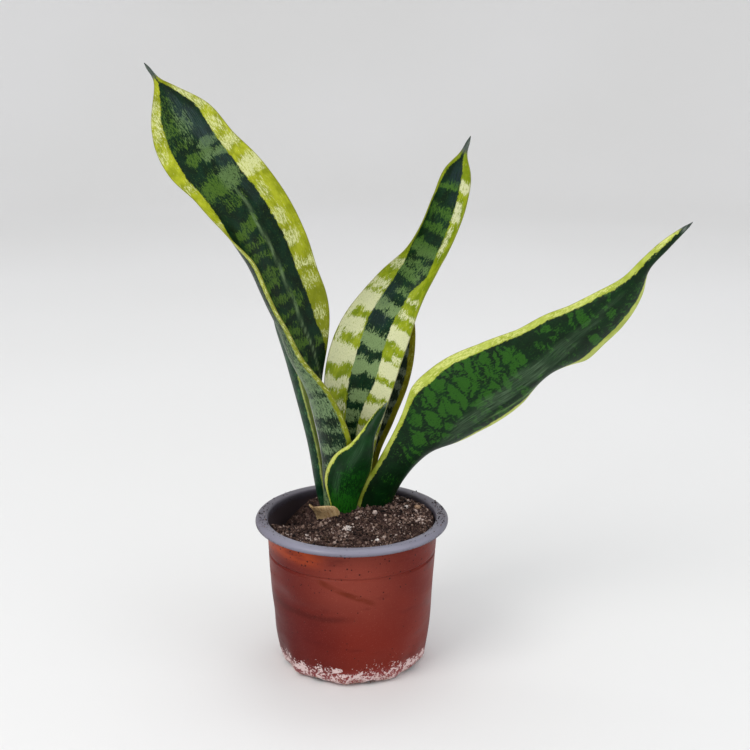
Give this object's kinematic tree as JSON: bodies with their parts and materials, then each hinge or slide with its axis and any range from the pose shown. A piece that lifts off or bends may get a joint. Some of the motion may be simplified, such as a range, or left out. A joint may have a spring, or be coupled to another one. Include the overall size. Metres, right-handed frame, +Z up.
{
  "type": "potted snake plant",
  "caption": "Young snake plant: stiff, channelled, yellow-edged leaves with dark spine tips, growing from a rhizome in a thin round nursery pot filled with potting mix.",
  "frame": {"origin": "centre of the pot's base, on the surface that it stands on", "axes": "+Z up; -Y towards the side that the plant shows as its front, +X towards the long low leaf's side"},
  "size_m": [0.2403, 0.09, 0.2761],
  "materials": {
    "pot_plastic": "thin thermoformed plastic, terracotta red outside, grey-lilac inside and on the rim, satin, dusty, with a pale mineral crust round the foot",
    "potting_mix": "crumbly dark brown mix of peat, bark and perlite, matt",
    "rhizome": "fleshy ochre rhizome and roots, matt",
    "leaf": "thick waxy leaf, satin, dark green centre with lighter cross bands and yellow margins",
    "dry_sheath": "dry papery tan leaf scale, matt",
    "perlite": "porous white perlite, matt",
    "bark": "dark bark chip, matt"
  },
  "bodies": {
    "root": {"nursery_pot": "pot_plastic", "potting_mix": "potting_mix", "rhizome_with_roots": "rhizome", "leaf_left": "leaf", "leaf_centre": "leaf", "leaf_right": "leaf", "leaf_back_left": "leaf", "leaf_back_right": "leaf", "leaf_front_sheath": "leaf", "dry_sheath": "dry_sheath", "perlite_1": "perlite", "perlite_2": "perlite", "perlite_3": "perlite", "perlite_4": "perlite", "bark_1": "bark", "bark_2": "bark", "bark_3": "bark"}
  },
  "joints": []
}
